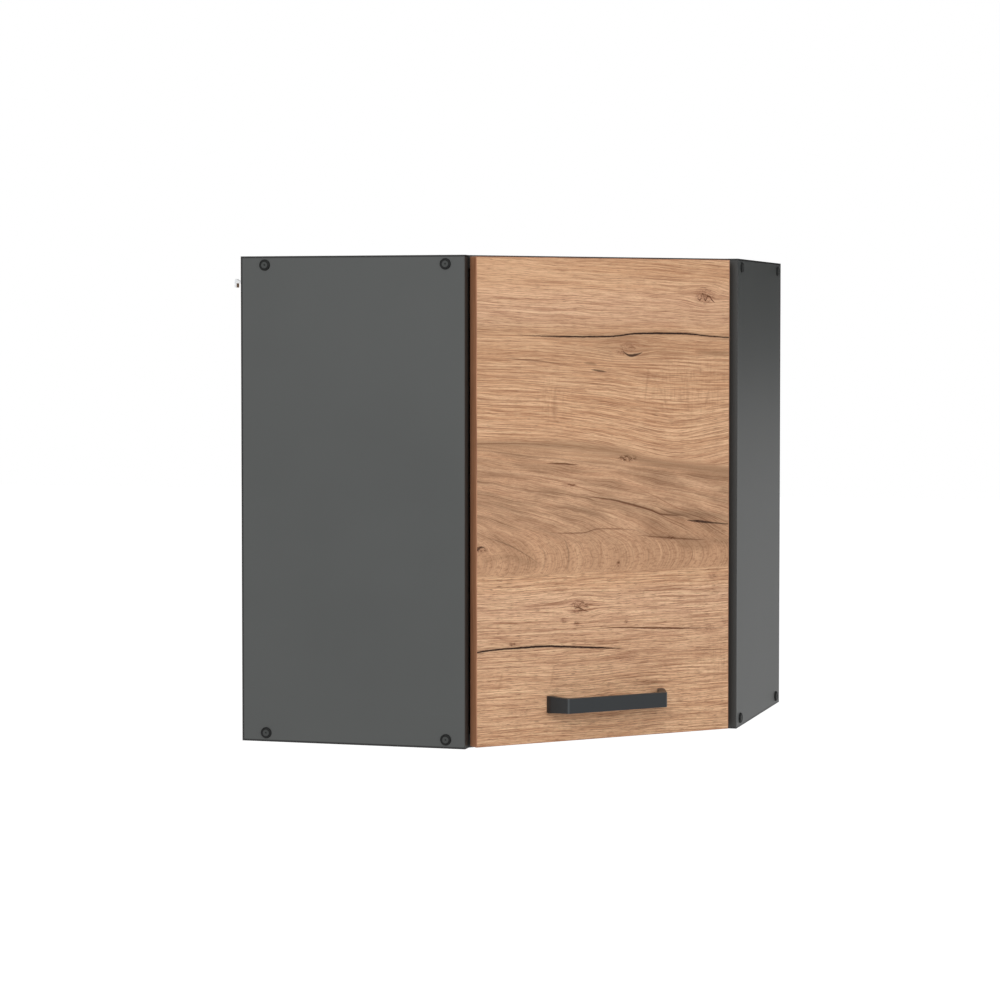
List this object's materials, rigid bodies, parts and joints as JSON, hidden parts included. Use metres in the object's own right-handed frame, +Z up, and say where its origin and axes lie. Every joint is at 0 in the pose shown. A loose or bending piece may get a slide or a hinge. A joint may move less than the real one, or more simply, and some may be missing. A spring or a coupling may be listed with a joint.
{
  "type": "corner wall cabinet",
  "caption": "Corner wall cabinet with a diagonal front, one hinged wood-grain door with a bow handle, an inner shelf and two adjustable wall hangers.",
  "frame": {"origin": "lower corner of the cabinet where the two room walls meet, at the level of its underside", "axes": "+Z up; the left wall is the plane X = 0 and the right wall the plane Y = 0; the cabinet lies along +X and -Y, and its door faces +X and -Y"},
  "size_m": [0.5842, 0.5842, 0.6],
  "materials": {
    "anthracite_board": "matt melamine-faced chipboard",
    "anthracite_edge_band": "matt",
    "back_board": "lacquered hardboard",
    "oak_front": "matt wood-grain laminate",
    "oak_edge_band": "matt wood grain",
    "black_handle": "fine matt black",
    "black_plastic": "satin",
    "clear_rubber": "satin",
    "beech": "raw",
    "grey_plastic": "satin",
    "zinc_steel": "zinc plated",
    "nickel_steel": "nickel plated"
  },
  "bodies": {
    "cabinet": {"left_side_panel": "anthracite_board", "right_side_panel": "anthracite_board", "top_panel": "anthracite_board", "bottom_panel": "anthracite_board", "back_panel_left": "back_board", "back_panel_right": "back_board", "corner_post": "anthracite_board", "shelf": "anthracite_board", "bottom_edge_band": "anthracite_edge_band", "top_edge_band": "anthracite_edge_band", "shelf_edge_band": "anthracite_edge_band", "left_side_edge_band": "anthracite_edge_band", "right_side_edge_band": "anthracite_edge_band", "confirmat_screws": "zinc_steel", "screw_caps": "black_plastic", "dowels": "beech", "shelf_pins": "zinc_steel", "left_hanger_case": "grey_plastic", "right_hanger_case": "grey_plastic", "left_hanger_hook": "zinc_steel", "right_hanger_hook": "zinc_steel", "hanger_fixing_screws": "zinc_steel", "hanger_adjusting_screws": "zinc_steel", "upper_hinge_arm": "nickel_steel", "lower_hinge_arm": "nickel_steel", "upper_hinge_arm_pins": "zinc_steel", "lower_hinge_arm_pins": "zinc_steel", "upper_hinge_mounting_plate": "nickel_steel", "lower_hinge_mounting_plate": "nickel_steel", "hinge_plate_screws": "zinc_steel", "hinge_arm_screws": "zinc_steel"},
    "door": {"door_panel": "oak_front", "door_edge_bands": "oak_edge_band", "door_bumpers": "clear_rubber", "handle": "black_handle", "handle_screws": "zinc_steel", "upper_hinge_cup": "nickel_steel", "lower_hinge_cup": "nickel_steel", "upper_hinge_cup_pins": "zinc_steel", "lower_hinge_cup_pins": "zinc_steel", "hinge_cup_screws": "zinc_steel"},
    "outer_links": {"upper_hinge_outer_link": "nickel_steel", "lower_hinge_outer_link": "nickel_steel"},
    "inner_links": {"upper_hinge_inner_link": "nickel_steel", "lower_hinge_inner_link": "nickel_steel"}
  },
  "joints": [
    {"name": "outer_link_pivot", "type": "hinge", "parent": "cabinet", "child": "outer_links", "pos_m": [0.54964, -0.29194, 0], "axis": [0, 0, 1], "range_deg": [0, 62.73]},
    {"name": "door_swing", "type": "hinge", "parent": "outer_links", "child": "door", "pos_m": [0.5437, -0.31008, 0], "axis": [0, 0, 1], "range_deg": [0, 32.57]},
    {"name": "inner_link_pivot", "type": "hinge", "parent": "cabinet", "child": "inner_links", "pos_m": [0.54674, -0.28768, 0], "axis": [0, 0, 1], "range_deg": [0, 38.46]}
  ],
  "couplings": [
    {"joint": "outer_link_pivot", "follows": "door_swing", "ratio": 1.9171},
    {"joint": "inner_link_pivot", "follows": "door_swing", "ratio": 1.1718}
  ]
}
